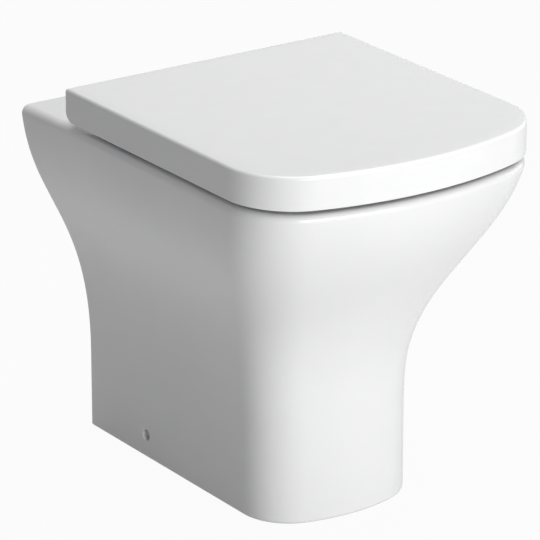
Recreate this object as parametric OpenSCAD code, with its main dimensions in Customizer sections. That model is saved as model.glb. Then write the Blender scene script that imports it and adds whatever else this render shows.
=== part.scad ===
// Back-to-wall toilet pan with a wrap-over seat and lid.
// The pan stands on the floor with its back against a wall. Width runs along X, the front faces -Y
// and Z points up. The origin is on the floor, under the middle of the overall box.
// Every module is drawn from the wall: y = 0 is the wall and y falls towards the front.

/* [Pan] */
// Height of the rim above the floor
pan_h = 395; // [380:1:410]
// Width of the rim where it meets the wall
rim_w = 364; // [350:1:380]
// Width of the foot
foot_w = 198; // [186:1:214]
// Length of the foot from the wall
foot_l = 365; // [355:1:385]
// Depth of the bare platform between the wall and the lid
platform_d = 86; // [78:1:96]
// Radius on the rim's top edge
rim_edge_r = 10; // [7:0.5:12]
// Radius on the foot's bottom edge
foot_edge_r = 4; // [2:0.5:6]
// How much narrower each side of the rim is under the lid than at the wall
rim_taper = 3.6; // [1:0.2:5]
// Length over which the rim narrows
taper_l = 90; // [60:5:110]
// Thickness of the china walls
china_t = 12; // [10:0.5:13]
// Thickness of the rim and platform
rim_t = 16; // [14:0.5:19]

/* [Skirt curve] */
// Height at which the sides start to flare
side_start = 92; // [70:1:110]
// Height above the rim at which the side curve would come upright
side_over = 23.5; // [12:0.5:35]
// Pull of the side curve at its lower end, a share of its height
side_low = 0.55; // [0.4:0.01:0.6]
// Pull of the side curve at its upper end, a share of its height
side_high = 0.42; // [0.35:0.01:0.5]
// Height at which the front starts to flare
front_start = 134; // [115:1:150]
// Height above the rim at which the front curve would come upright
front_over = 42; // [30:1:50]
// Pull of the front curve at its lower end, a share of its height
front_low = 0.38; // [0.3:0.01:0.45]
// Pull of the front curve at its upper end, a share of its height
front_high = 0.39; // [0.3:0.01:0.45]
// Radius of the foot's front corners in plan
foot_corner_r = 60; // [50:1:70]
// Radius of the foot's bowed front in plan
foot_bow_r = 200; // [180:5:260]

/* [Bowl] */
// Width of the opening in the rim
bowl_w = 260; // [240:1:268]
// Distance from the wall to the opening
bowl_rear = 160; // [152:1:168]
// Width of the rim in front of the opening
bowl_ledge = 48; // [44:1:56]
// Corner radius at the back of the opening
bowl_rear_r = 70; // [50:1:90]
// Corner radius at the front of the opening
bowl_front_r = 105; // [90:1:115]
// Height of the bottom of the sump
sump_z = 46; // [42:1:48]
// Width of the sump
sump_w = 84; // [80:1:90]
// Distance from the wall to the back of the sump
sump_rear = 250; // [246:1:254]
// Distance from the wall to the front of the sump
sump_front = 302; // [298:1:304]
// How hollow the slope from rim to sump is, 1 for straight
bowl_slope = 1.2; // [1.1:0.05:1.4]

/* [Waste and flush] */
// Height of the middle of the outlet
outlet_z = 180; // [175:1:185]
// Outside diameter of the outlet spigot
outlet_d = 102; // [98:0.5:110]
// Bore of the outlet spigot
outlet_bore = 82; // [78:0.5:86]
// Length of the outlet spigot
outlet_l = 55; // [45:1:60]
// Distance from the wall to the end of the spigot
outlet_inset = 20; // [10:1:30]
// Bore of the trapway
trap_bore = 56; // [52:0.5:58]
// Thickness of the trapway wall
trap_t = 10; // [8:0.5:11]
// Height of the trapway's middle at its crown
crown_z = 200; // [196:1:204]
// Distance from the wall to the crown
crown_y = 120; // [116:1:124]
// Height of the trapway's middle where it leaves the sump
dip_z = 80; // [78:1:84]
// Height of the middle of the flush inlet
inlet_z = 345; // [338:1:348]
// Bore of the flush inlet's socket
inlet_bore = 56; // [52:0.5:60]
// Depth of the flush inlet's socket
inlet_depth = 45; // [35:1:60]
// Bore of the passage from the socket to the bowl
inlet_neck = 46; // [40:0.5:50]
// Distance from the wall to the mouth of the flush inlet
inlet_inset = 14; // [8:1:25]

/* [Fixing holes] */
// Distance between the seat bolts
seat_pitch = 155; // [150:1:160]
// Diameter of the seat bolt holes
bolt_hole_d = 14; // [13:0.5:16]
// Diameter of the side fixing holes
side_hole_d = 12.5; // [10:0.5:14]
// Distance from the wall to the side fixing holes
side_hole_y = 111; // [100:1:125]
// Height of the side fixing holes
side_hole_z = 27; // [22:1:32]

/* [Lid] */
// Width of the lid
lid_w = 360; // [350:1:366]
// Length of the lid
lid_l = 402; // [396:1:412]
// Height of the lid's edge
lid_h = 37; // [35:0.5:40]
// Gap between the rim and the lid's lower edge
lid_gap = 5.5; // [5:0.25:7]
// How far the lid stands out past the rim
lid_overhang = 1.6; // [0.5:0.1:3]
// Thickness of the lid's edge
lid_side_t = 4.5; // [3.5:0.25:5]
// Thickness of the lid's top
lid_top_t = 4; // [3:0.25:4.5]
// Radius on the lid's top edge
lid_edge_r = 3.5; // [2.5:0.25:4]
// Radius of the lid's front corners in plan
lid_corner_r = 81; // [70:1:90]
// Radius of the lid's bowed front in plan
lid_bow_r = 410; // [380:5:460]
// How far the hinge pivot is from the lid's rear face and from its lower edge
pivot_in = 19.5; // [19:0.25:20.5]

/* [Seat] */
// Thickness of the seat ring
seat_t = 23; // [21:0.5:24]
// Gap between the seat ring and the inside of the lid's edge
seat_gap = 2; // [1.5:0.25:3]
// Width of the seat ring at its sides and front
seat_ring_w = 60; // [54:1:64]
// Distance from the hinge pivot to the back of the seat ring
seat_back = 16.5; // [16:0.25:18]
// Width of the back of the seat ring, from its rear edge to its opening
seat_bridge = 38; // [34:1:44]
// Radius on the seat ring's upper edges
seat_edge_r = 7; // [4:0.5:9]
// Depth of the dish in the seat ring's top
seat_dish = 2; // [1:0.25:3]

/* [Hinge] */
// Width of each hinge block
block_w = 40; // [38:0.5:42]
// Radius of the hinge block's barrel
barrel_r = 12; // [11:0.25:12.5]
// Radius of the ears on the seat and the lid
ear_r = 11.5; // [10.5:0.25:12]
// Width of the seat's ears
seat_ear_w = 21; // [18:0.5:23]
// Width of the lid's ears
lid_ear_w = 18; // [16:0.5:20]
// Gap between a hinge block and the ears beside it
ear_gap = 0.5; // [0.3:0.1:0.8]
// Diameter of the pivot pins and damper shafts
pin_d = 8; // [7:0.25:9]
// Width across the flats of the damper shafts
flats_w = 6; // [5.5:0.25:6.5]
// Diameter of the dampers
damper_d = 15; // [14:0.25:15.5]
// Length of the dampers
damper_l = 25; // [23:0.5:26]
// How deep a pin or shaft enters an ear
pin_in_ear = 15; // [12:0.5:16]
// Thickness of the gasket under a hinge plate
gasket_t = 1; // [0.6:0.1:1.2]
// Thickness of a hinge plate
plate_t = 1.6; // [1.2:0.1:1.8]
// Diameter of a hinge plate
plate_d = 38; // [36:0.5:39]
// Diameter of a hinge post
post_d = 9.5; // [9:0.25:10]
// Height of a hinge post above its plate
post_h = 12; // [11:0.25:12.5]
// Diameter of the neck in a hinge post
neck_d = 6.4; // [6:0.1:6.6]
// Diameter of a hinge post's threaded stem
stem_d = 6; // [5.5:0.25:6]
// Wire diameter of the latch clips
wire_d = 1.4; // [1.2:0.1:1.5]
// How far a release button travels
button_travel = 3.5; // [3:0.25:4]

/* [Rubber] */
// Diameter of the buffers under the seat
seat_buffer_d = 18; // [14:0.5:20]
// Diameter of the buffers in the lid
lid_buffer_d = 14; // [10:0.5:16]
// Diameter of the expansion sleeves in the bolt holes
sleeve_d = 13; // [12:0.25:13]
// Diameter of the bulge on an expansion sleeve
bulge_d = 18; // [16:0.25:20]
// Length of an expansion sleeve
sleeve_l = 38; // [34:1:42]

/* [Hidden] */

$fn = 48;
china = "white";
plastic = "whitesmoke";
steel = "silver";
brass = "goldenrod";
rubber = "dimgray";
damper_grey = "lightgray";

left = -1;
right = 1;
// a cut runs this far past the face that it breaks through
past = 1;
// radial clearance of a pin that turns, and of one that is fixed
running = 0.06;
fixed = 0.03;
// clearance of a piece that slides or lies beside another
slide = 0.3;

overall_d = platform_d + lid_l;
wall_y = overall_d/2;
rim_reach = overall_d - lid_overhang;
rim_round_z = pan_h - rim_edge_r;
ceiling_z = pan_h - rim_t;
lid_z = pan_h + lid_gap;
lid_top_z = lid_z + lid_h;
lid_under_z = lid_top_z - lid_top_t;
// the seat's underside lies this far above the lid's lower edge
seat_lift = 0.5;
seat_z = lid_z + seat_lift;
seat_top_z = seat_z + seat_t;
pivot_y = -(platform_d + pivot_in);
pivot_z = lid_z + pivot_in;
hinge_x = seat_pitch/2;
block_in = hinge_x - block_w/2;
block_out = hinge_x + block_w/2;
plate_top_z = pan_h + gasket_t + plate_t;
// gap between a hinge block and the plate under it
block_clear = 0.6;
block_z = plate_top_z + block_clear;
block_front = 13;
block_back = 8.5;

// number of facets along each stretch of a lofted outline
corner_steps = 9;
bow_steps = 4;
flare_rings = 15;
edge_steps = 4;

// Curves

function bezier(a, b, c, d, t) =
    a*pow(1 - t, 3) + 3*b*t*pow(1 - t, 2) + 3*c*t*t*(1 - t) + d*pow(t, 3);

// place along a flare, from 0 to 1, at which it has climbed to height z
function flare_place(z, z0, z1, low, high, from = 0, to = 1, tries = 20) =
    let (mid = (from + to)/2)
    let (mid_z = bezier(z0, z0 + low*(z1 - z0), z1 - high*(z1 - z0), z1, mid))
    tries == 0 ? mid
    : mid_z < z ? flare_place(z, z0, z1, low, high, mid, to, tries - 1)
    : flare_place(z, z0, z1, low, high, from, mid, tries - 1);

// share of the whole flare reached at height z
function flare(z, z0, z1, low, high) =
    z <= z0 ? 0 : let (t = flare_place(z, z0, z1, low, high)) t*t*(3 - 2*t);

function side_flare(z) = flare(z, side_start, pan_h + side_over, side_low, side_high);
function front_flare(z) = flare(z, front_start, pan_h + front_over, front_low, front_high);
side_full = side_flare(rim_round_z);
front_full = front_flare(rim_round_z);
function side_share(z) = side_flare(z)/side_full;
function front_share(z) = front_flare(z)/front_full;
function mix(a, b, share) = a + (b - a)*share;

// how far a rounded edge of radius r has drawn in at height h above its start
function draw_in(h, r) = h <= 0 ? 0 : r - sqrt(max(0, r*r - h*h));

// Outlines in plan, counter-clockwise from the left rear corner

// squared D: straight back and sides, rounded front corners, bowed front;
// marks are distances from the back at which each side has a point
function d_outline(half, rear, front, corner, bow, marks = [0]) =
    let (bow_y = front + bow, dx = half - corner)
    let (corner_y = bow_y - sqrt(pow(bow - corner, 2) - dx*dx))
    let (turn = 180 + atan2(bow_y - corner_y, dx))
    let (half_line = concat(
        [for (m = marks) [-half, rear - m]],
        [for (i = [0:corner_steps]) let (a = mix(180, turn, i/corner_steps))
            [-dx + corner*cos(a), corner_y + corner*sin(a)]],
        [for (i = [1:bow_steps]) let (a = mix(turn, 270, i/bow_steps))
            [bow*cos(a), bow_y + bow*sin(a)]]))
    concat(half_line, [for (i = [len(half_line) - 2:-1:0]) [-half_line[i].x, half_line[i].y]]);

// rectangle with its own radius at the rear corners and at the front corners
function round_outline(half, rear, front, rear_r, front_r, steps = 6) = concat(
    [for (i = [0:steps]) let (a = mix(90, 180, i/steps))
        [-half + rear_r + rear_r*cos(a), rear - rear_r + rear_r*sin(a)]],
    [for (i = [0:steps]) let (a = mix(180, 270, i/steps))
        [-half + front_r + front_r*cos(a), front + front_r + front_r*sin(a)]],
    [for (i = [0:steps]) let (a = mix(270, 360, i/steps))
        [half - front_r + front_r*cos(a), front + front_r + front_r*sin(a)]],
    [for (i = [0:steps]) let (a = mix(0, 90, i/steps))
        [half - rear_r + rear_r*cos(a), rear - rear_r + rear_r*sin(a)]]);

function at_height(outline, z) = [for (p = outline) [p.x, p.y, z]];

// Solids

function middle(ring) = [for (k = [0:2]) sum([for (p = ring) p[k]])/len(ring)];
function sum(list) = list*[for (v = list) 1];

// closed skin through rings of points that run counter-clockwise seen from the last ring;
// each end is a fan of triangles, which stays sound where points of a ring lie in line
module loft(rings) {
    n = len(rings[0]);
    last = len(rings) - 1;
    low_middle = n*len(rings);
    polyhedron(
        points = concat([for (r = rings) each r], [middle(rings[0]), middle(rings[last])]),
        faces = concat(
            [for (i = [0:n - 1]) [i, (i + 1)%n, low_middle]],
            [for (k = [0:last - 1], i = [0:n - 1]) let (a = k*n + i, b = k*n + (i + 1)%n)
                each [[a, a + n, b + n], [a, b + n, b]]],
            [for (i = [0:n - 1]) [last*n + (i + 1)%n, last*n + i, low_middle + 1]]));
}

module from_wall() {
    translate([0, wall_y, 0])
        children();
}

// cylinder along X from one distance to another on the side s of the middle
module x_rod(s, from, to, d) {
    translate([s*(from + to)/2, 0, 0])
        rotate([0, 90, 0])
            cylinder(d = d, h = to - from, center = true);
}

// box between two corners, with x mirrored on the side s
module side_box(s, low, high) {
    translate([s > 0 ? low.x : -high.x, low.y, low.z])
        cube(high - low);
}

module at_pivot() {
    translate([0, pivot_y, pivot_z])
        children();
}

// Pan

function pan_half(z) = mix(foot_w/2, rim_w/2, side_share(z)) - rim_taper*side_share(z);
function pan_reach(z) = mix(foot_l, rim_reach, front_share(z));
function pan_corner(z) = mix(foot_corner_r, lid_corner_r - lid_overhang, front_share(z));
function pan_bow(z) = mix(foot_bow_r, lid_bow_r - lid_overhang, front_share(z));

// outline of the skirt at height z, drawn in by d, with its back edge at y = rear
function pan_ring(z, d, rear) =
    let (h = min(z, pan_h))
    let (half = pan_half(h) - d, spread = rim_taper*side_share(h))
    let (flat = d_outline(half, rear, d - pan_reach(h), pan_corner(h) - d, pan_bow(h) - d,
        [for (i = [0:3]) i == 0 ? 0 : rear + i*taper_l/3]))
    [for (p = flat) [p.x + sign(p.x)*spread*pow(max(0, min(1, 1 + p.y/taper_l)), 2), p.y, z]];

// heights of the rings from one height to another, close together through the flare
function flare_heights(from, to) = [for (i = [0:flare_rings]) mix(from, to, i/flare_rings)];

module pan_body() {
    foot = [for (i = [0:edge_steps - 1]) let (a = 90*i/edge_steps)
        [foot_edge_r*(1 - cos(a)), foot_edge_r*(1 - sin(a))]];
    rim = [for (i = [1:edge_steps + 1]) let (a = 90*i/(edge_steps + 1))
        [rim_round_z + rim_edge_r*sin(a), rim_edge_r*(1 - cos(a))]];
    loft(concat(
        [for (e = foot) pan_ring(e[0], e[1], 0)],
        [pan_ring(foot_edge_r, 0, 0)],
        [for (z = flare_heights(side_start, rim_round_z)) pan_ring(z, 0, 0)],
        [for (e = rim) pan_ring(e[0], e[1], 0)]));
}

module skirt_hollow() {
    loft(concat(
        [pan_ring(-past, china_t, past)],
        [for (z = flare_heights(side_start, ceiling_z)) pan_ring(z, china_t, past)]));
}

// straight stretch that is left between two rounded corners
least_flat = 0.5;

function bowl_share(z) = pow(max(0, z - sump_z)/(pan_h - sump_z), bowl_slope);

function bowl_ring(z, grow) =
    let (s = bowl_share(min(z, pan_h)))
    let (half = mix(sump_w/2, bowl_w/2, s) + grow)
    let (rear = -mix(sump_rear, bowl_rear, s) + grow)
    let (front = -mix(sump_front, rim_reach - bowl_ledge, s) - grow)
    let (most = min(half, (rear - front)/2) - least_flat)
    let (rear_r = min(most, bowl_rear_r + grow), front_r = min(most, bowl_front_r + grow))
    at_height(round_outline(half, rear, front, rear_r, front_r), z);

bowl_rings = 10;
// the sump's bottom edge is cut back by this much, with a step at this share of it
sump_edge = 14;
sump_share = 0.3;

module bowl_hollow() {
    loft(concat(
        [bowl_ring(sump_z, -sump_edge)],
        [bowl_ring(sump_z + sump_edge*sump_share, -sump_edge*sump_share)],
        [for (i = [0:bowl_rings]) bowl_ring(mix(sump_z + sump_edge, pan_h, i/bowl_rings), 0)],
        [at_height(bowl_ring(pan_h, 0), pan_h + past)]));
}

module bowl_shell() {
    low = sump_z - china_t;
    loft(concat(
        [bowl_ring(low, china_t - sump_edge)],
        [bowl_ring(low + sump_edge*sump_share, china_t - sump_edge*sump_share)],
        [for (i = [0:bowl_rings])
            bowl_ring(mix(low + sump_edge, ceiling_z + china_t/2, i/bowl_rings), china_t)]));
}

// middle line of the trapway: up from the sump to the crown, then down to the outlet
trap_overlap = 38;
trap_start = [-(sump_rear + trap_overlap), dip_z];
trap_crown = [-crown_y, crown_z];
spigot_overlap = 20;
trap_end = [-(outlet_inset + outlet_l - spigot_overlap), outlet_z];
// what the outlet's wall keeps where the trapway enters it
spigot_floor = 14;
spigot_step = 4;
bore_step = 3;
dip_pull = 130;
rise_pull = 75;
fall_pull = (trap_end.x - trap_crown.x)/2;
rise_steps = 10;
fall_steps = 4;
function trap_leg(a, b, pull_a, pull_b, t) =
    [bezier(a.x, a.x + pull_a, b.x - pull_b, b.x, t), bezier(a.y, a.y, b.y, b.y, t)];
trap_line = concat(
    [for (i = [0:rise_steps]) trap_leg(trap_start, trap_crown, dip_pull, rise_pull, i/rise_steps)],
    [for (i = [1:fall_steps]) trap_leg(trap_crown, trap_end, fall_pull, fall_pull, i/fall_steps)]);

// round tube along the trapway's middle line, wider at the outlet than at the crown
module trap_tube(r, end_r, sides = 20) {
    last = len(trap_line) - 1;
    loft([for (k = [0:last])
        let (before = trap_line[max(k - 1, 0)], after = trap_line[min(k + 1, last)])
        let (slope = k == 0 || k == last ? 0 : atan2(after.y - before.y, after.x - before.x))
        let (here = mix(r, end_r, max(0, k - rise_steps)/fall_steps))
        [for (i = [0:sides - 1]) let (a = 360*i/sides)
            [-here*cos(a), trap_line[k].x - here*sin(a)*sin(slope),
                trap_line[k].y + here*sin(a)*cos(slope)]]]);
}

// cylinder along Y between two distances from the wall
module y_rod(from, to, d) {
    translate([0, -from, 0])
        rotate([90, 0, 0])
            cylinder(d = d, h = to - from);
}

// what stands in the skirt's hollow: the bowl, the trapway, the outlet spigot and the flush inlet
module pan_works() {
    bowl_shell();
    trap_tube(trap_bore/2 + trap_t, outlet_d/2 - spigot_step);
    translate([0, 0, outlet_z])
        y_rod(outlet_inset, outlet_inset + outlet_l, outlet_d);
    translate([0, 0, inlet_z])
        y_rod(inlet_inset, bowl_rear + 2*china_t, inlet_bore + 2*china_t);
}

module ceramic_pan() {
    color(china) from_wall() difference() {
        pan_body();
        difference() {
            skirt_hollow();
            pan_works();
        }
        bowl_hollow();
        trap_tube(trap_bore/2, outlet_bore/2 - bore_step);
        translate([0, 0, outlet_z])
            y_rod(outlet_inset - past, outlet_inset + outlet_l - spigot_floor, outlet_bore);
        translate([0, 0, inlet_z]) {
            y_rod(inlet_inset - past, inlet_inset + inlet_depth, inlet_bore);
            y_rod(inlet_inset + inlet_depth - past, bowl_rear + 2*china_t + past, inlet_neck);
        }
        for (s = [left, right])
            translate([s*hinge_x, pivot_y, ceiling_z - past])
                cylinder(d = bolt_hole_d, h = rim_t + 2*past);
        translate([0, -side_hole_y, side_hole_z])
            rotate([0, 90, 0])
                cylinder(d = side_hole_d, h = foot_w + 2*past, center = true);
    }
}

// Lid

lid_reach = -overall_d;
lid_low_r = 0.8;
// room between a swinging edge or a standing face and the barrel beside it
barrel_room = 0.5;
// a notch in the lid starts this far before the seat's ear
notch_room = 1.5;
// how deep an ear runs into the plate that carries it
ear_sink = 0.5;

function lid_ring(z, d) = at_height(d_outline(lid_w/2 - d, -platform_d - d, lid_reach + d,
    lid_corner_r - d, lid_bow_r - d), z);

module lid_shell() {
    edge = [for (i = [0:edge_steps]) let (a = 90*i/edge_steps)
        [lid_top_z - lid_edge_r*(1 - sin(a)), lid_edge_r*(1 - cos(a))]];
    loft(concat(
        [lid_ring(lid_z, lid_low_r)],
        [lid_ring(lid_z + lid_low_r, 0)],
        [for (e = edge) lid_ring(e[0], e[1])]));
}

// the space inside the lid's edge
module lid_inside() {
    t = lid_side_t;
    translate([0, 0, lid_z - past])
        linear_extrude(lid_under_z - lid_z + past)
            polygon(d_outline(lid_w/2 - t, -platform_d - t, lid_reach + t,
                lid_corner_r - t, lid_bow_r - t));
}

// what is cut away below the pivot so that the lid can swing over the platform
module lid_swing_room() {
    back = pivot_in + past;
    inner = lid_w - 2*lid_side_t;
    at_pivot() {
        difference() {
            translate([-lid_w/2 - past, 0, -back])
                cube([lid_w + 2*past, back, back]);
            rotate([0, 90, 0])
                cylinder(r = pivot_in, h = lid_w + 4*past, center = true);
        }
        translate([-inner/2, 0, -back])
            cube([inner, back, back]);
    }
}

// the ear's width starts past the hinge block
lid_ear_in = block_out + ear_gap;
seat_ear_out = block_in - ear_gap;
seat_ear_in = seat_ear_out - seat_ear_w;

module lid_ear(s) {
    at_pivot() {
        x_rod(s, lid_ear_in, lid_ear_in + lid_ear_w, 2*ear_r);
        side_box(s, [lid_ear_in, -ear_r, 0],
            [lid_ear_in + lid_ear_w, ear_r, lid_under_z - pivot_z + ear_sink]);
    }
}

// round bore, or one with two flats, that runs from an ear's face into it
module ear_bore(s, from, to, keyed) {
    clear = keyed ? fixed : running;
    at_pivot() intersection() {
        x_rod(s, from, to, pin_d + 2*clear);
        if (keyed)
            side_box(s, [from, -pin_d, -flats_w/2 - fixed], [to, pin_d, flats_w/2 + fixed]);
        else
            side_box(s, [from, -pin_d, -pin_d], [to, pin_d, pin_d]);
    }
}

module lid() {
    color(plastic) from_wall() difference() {
        union() {
            difference() {
                lid_shell();
                lid_inside();
                lid_swing_room();
                for (s = [left, right])
                    at_pivot()
                        side_box(s, [seat_ear_in - notch_room, barrel_r + barrel_room, -past],
                            [lid_ear_in, pivot_in + past, lid_under_z - pivot_z]);
            }
            for (s = [left, right])
                lid_ear(s);
        }
        ear_bore(left, lid_ear_in - past, lid_ear_in + pin_in_ear, false);
        ear_bore(right, lid_ear_in - past, lid_ear_in + pin_in_ear, true);
    }
}

// Seat

seat_in = lid_side_t + seat_gap;
seat_rear_y = pivot_y - seat_back;
hole_half = lid_w/2 - seat_in - seat_ring_w;
hole_rear_y = seat_rear_y - seat_bridge;
hole_front_y = lid_reach + seat_in + seat_ring_w;

// chamfer on the seat ring's lower edge
seat_low_r = 1;
// how far the dish reaches across the ring, a share of the ring's width
dish_share = 0.45;
// an ear's foot starts this far under the pivot, and runs this far into the ring
ear_drop = 8;
ear_root = 6;

// outer outline of the seat ring, drawn in by d
function seat_outer(d) = d_outline(lid_w/2 - seat_in - d, seat_rear_y - d, lid_reach + seat_in + d,
    lid_corner_r - seat_in - d, lid_bow_r - seat_in - d);

// outline of its opening, widened by d
function seat_hole(d) = round_outline(hole_half + d, hole_rear_y + d, hole_front_y - d,
    bowl_rear_r + d, bowl_front_r + d, 8);

module seat_body() {
    top = [for (i = [0:edge_steps]) let (a = 90*i/edge_steps)
        [seat_top_z - seat_edge_r*(1 - sin(a)), seat_edge_r*(1 - cos(a))]];
    loft(concat(
        [at_height(seat_outer(seat_low_r), seat_z)],
        [at_height(seat_outer(0), seat_z + seat_low_r)],
        [for (e = top) at_height(seat_outer(e[1]), e[0])]));
}

// the opening, with the dish that slopes down to it
module seat_opening() {
    flare_edge = [for (i = [0:edge_steps]) let (a = 90*i/edge_steps)
        [seat_top_z - seat_dish - seat_edge_r*(1 - sin(a)), seat_edge_r*(1 - cos(a))]];
    dish = seat_ring_w*dish_share;
    loft(concat(
        [at_height(seat_hole(0), seat_z - past)],
        [for (e = flare_edge) at_height(seat_hole(e[1]), e[0])],
        [at_height(seat_hole(dish), seat_top_z)],
        [at_height(seat_hole(dish), seat_top_z + past)]));
}

module seat_ear(s) {
    at_pivot() {
        x_rod(s, seat_ear_in, seat_ear_out, 2*ear_r);
        side_box(s, [seat_ear_in, -seat_back - ear_root, -ear_drop],
            [seat_ear_out, 0, seat_top_z - pivot_z - ear_sink]);
    }
}

module seat_ring() {
    color(plastic) from_wall() difference() {
        union() {
            difference() {
                seat_body();
                seat_opening();
            }
            for (s = [left, right])
                seat_ear(s);
        }
        ear_bore(left, seat_ear_out - pin_in_ear, seat_ear_out + past, true);
        ear_bore(right, seat_ear_out - pin_in_ear, seat_ear_out + past, false);
    }
}

// Buffers

rim_mid_x = (bowl_w/2 + rim_w/2 - rim_taper - rim_edge_r)/2;
// the buffers stand in the corners: this far in front of the opening's back, behind the rim's front
// and in from the middle of the side rim
buffer_from_rear = 28;
buffer_from_front = 59;
buffer_in = 21;
rear_buffer = [rim_mid_x, -(bowl_rear + buffer_from_rear)];
front_buffer = [rim_mid_x - buffer_in, -(rim_reach - buffer_from_front)];
// the lid's buffers rest on the seat's flat top, which is a little further in and back
lid_buffer_shift = [-3, 4];

module seat_buffers() {
    color(rubber) from_wall()
        for (s = [left, right], p = [rear_buffer, front_buffer])
            translate([s*p.x, p.y, pan_h + slide])
                cylinder(d = seat_buffer_d, h = seat_z - pan_h - slide);
}

module lid_buffers() {
    color(rubber) from_wall()
        for (s = [left, right], p = [rear_buffer, front_buffer])
            translate([s*(p.x + lid_buffer_shift.x), p.y + lid_buffer_shift.y, seat_top_z + slide])
                cylinder(d = lid_buffer_d, h = lid_under_z - seat_top_z - slide);
}

// Hinge blocks

socket_d = post_d + 2*slide;
socket_end = 1;
socket_top_z = plate_top_z + post_h + socket_end;
// height of the post's neck above the hinge plate
neck_up = 6.2;
neck_z = plate_top_z + neck_up;
blade_t = 1.4;
blade_gap = 0.2;
// the blade is this much wider on each side than a post
blade_spare = 0.5;
blade_half = post_d/2 + blade_spare;
// gap between a post's neck and the clip's legs
leg_gap = 0.1;
leg_y = neck_d/2 + wire_d/2 + leg_gap;
bow_x = 5;
leg_end = 8;
cap_w = 12;
cap_h = 6;
cap_y = 1;
cap_out = 4;
cap_in = 2;
damper_face = 0.5;
bore_gap = 0.1;

// local place: x from the post towards the middle of the seat, y and z from the post's foot
module at_post(s) {
    translate([s*hinge_x, pivot_y, 0])
        face_x(-s)
            children();
}

// mirrored where s is negative
module face_x(s) {
    if (s < 0)
        mirror([1, 0, 0])
            children();
    else
        children();
}

module block_solid(s) {
    at_pivot()
        x_rod(s, block_in, block_out, 2*barrel_r);
    translate([0, pivot_y, 0])
        side_box(s, [block_in, -block_front, block_z], [block_out, block_back, pivot_z]);
}

// room for the latch clip, the button's blade and the button's cap
module latch_room(s) {
    half_h = wire_d/2 + blade_gap;
    reach_in = block_w/2 + past;
    deep = cap_in + button_travel + slide;
    at_post(s) {
        translate([-bow_x - leg_y - wire_d, -blade_half - slide, neck_z - half_h])
            cube([reach_in + bow_x + leg_y + wire_d, 2*(blade_half + slide), 2*half_h]);
        translate([block_w/2 - deep, cap_y - cap_w/2 - slide, neck_z - cap_h/2 - slide])
            cube([deep + past, cap_w + 2*slide, cap_h + 2*slide]);
    }
}

// where the damper and the plain pin enter the block on the side s
function damper_from(s) = s == left ? block_in + damper_face : block_out - damper_face - damper_l;
function pin_hole_from(s) = s == left ? block_out - pin_in_block : block_in;
pin_in_block = 12;

module hinge_block(s) {
    color(plastic) from_wall() difference() {
        block_solid(s);
        at_pivot() {
            x_rod(s, damper_from(s) - (s == left ? past : bore_gap),
                damper_from(s) + damper_l + (s == left ? bore_gap : past), damper_d + 2*bore_gap);
            x_rod(s, pin_hole_from(s) - (s == left ? 0 : past),
                pin_hole_from(s) + pin_in_block + (s == left ? past : 0), pin_d + 2*fixed);
        }
        translate([s*hinge_x, pivot_y, block_z - past])
            cylinder(d = socket_d, h = socket_top_z - block_z + past);
        latch_room(s);
    }
}

// Dampers, shafts and pins

shaft_in_damper = 9;

module damper(s) {
    face = s == left ? damper_from(s) : damper_from(s) + damper_l;
    color(damper_grey) from_wall() at_pivot() difference() {
        x_rod(s, damper_from(s), damper_from(s) + damper_l, damper_d);
        if (s == left)
            x_rod(s, face - past, face + shaft_in_damper, pin_d + 2*running);
        else
            x_rod(s, face - shaft_in_damper, face + past, pin_d + 2*running);
    }
}

// shaft from a damper into an ear, round in the damper and with two flats in the ear
module damper_shaft(s) {
    round_from = s == left ? seat_ear_out : block_out - damper_face - shaft_in_damper + slide;
    round_to = s == left ? block_in + damper_face + shaft_in_damper - slide : lid_ear_in;
    key_from = s == left ? seat_ear_out - pin_in_ear + slide : lid_ear_in;
    key_to = s == left ? seat_ear_out : lid_ear_in + pin_in_ear - slide;
    color(steel) from_wall() at_pivot() {
        x_rod(s, round_from, round_to, pin_d);
        intersection() {
            x_rod(s, key_from, key_to, pin_d);
            side_box(s, [key_from, -pin_d, -flats_w/2], [key_to, pin_d, flats_w/2]);
        }
    }
}

module seat_pivot_pin() {
    color(steel) from_wall() at_pivot()
        x_rod(right, seat_ear_out - pin_in_ear + slide, block_in + pin_in_block - slide, pin_d);
}

module lid_pivot_pin() {
    color(steel) from_wall() at_pivot()
        x_rod(left, block_out - pin_in_block + slide, lid_ear_in + pin_in_ear - slide, pin_d);
}

// Latch

// spring wire clip whose two legs lie in the post's neck
module latch_clip(s) {
    color(steel) from_wall() at_post(s) translate([0, 0, neck_z]) {
        for (y = [-leg_y, leg_y])
            translate([-bow_x, y, 0])
                rotate([0, 90, 0])
                    cylinder(d = wire_d, h = bow_x + leg_end);
        translate([-bow_x, 0, 0])
            rotate([0, 0, 90])
                rotate_extrude(angle = 180)
                    translate([leg_y, 0])
                        circle(d = wire_d, $fn = 24);
    }
}

// push button with a flat blade whose nose spreads the clip's legs
module release_button(s) {
    nose_x = leg_end + blade_gap;
    nose_half = neck_d/2 - slide;
    color(plastic) from_wall() at_post(s) {
        translate([0, 0, neck_z - blade_t/2])
            linear_extrude(blade_t)
                polygon([
                    [nose_x, -nose_half], [nose_x + button_travel, -blade_half],
                    [block_w/2, -blade_half], [block_w/2, blade_half],
                    [nose_x + button_travel, blade_half], [nose_x, nose_half]]);
        translate([block_w/2 - cap_in, cap_y - cap_w/2, neck_z - cap_h/2])
            cube([cap_in + cap_out, cap_w, cap_h]);
    }
}

// Fixings

nut_h = 6;
nut_w = 11;
nut_gap = 0.1;
stem_past_nut = 3;
stem_chamfer = 0.6;
post_chamfer = 2;
// a post's shoulder lies this far above its plate, and its neck is this much higher than the wire
shoulder_gap = 0.05;
neck_spare = 0.6;
plate_edge = 0.6;
plate_hole_gap = 0.2;
gasket_hole_gap = 0.5;
// how far a gasket lies inside its plate's edge
gasket_in = 1;
sleeve_bore_gap = 0.15;
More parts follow.
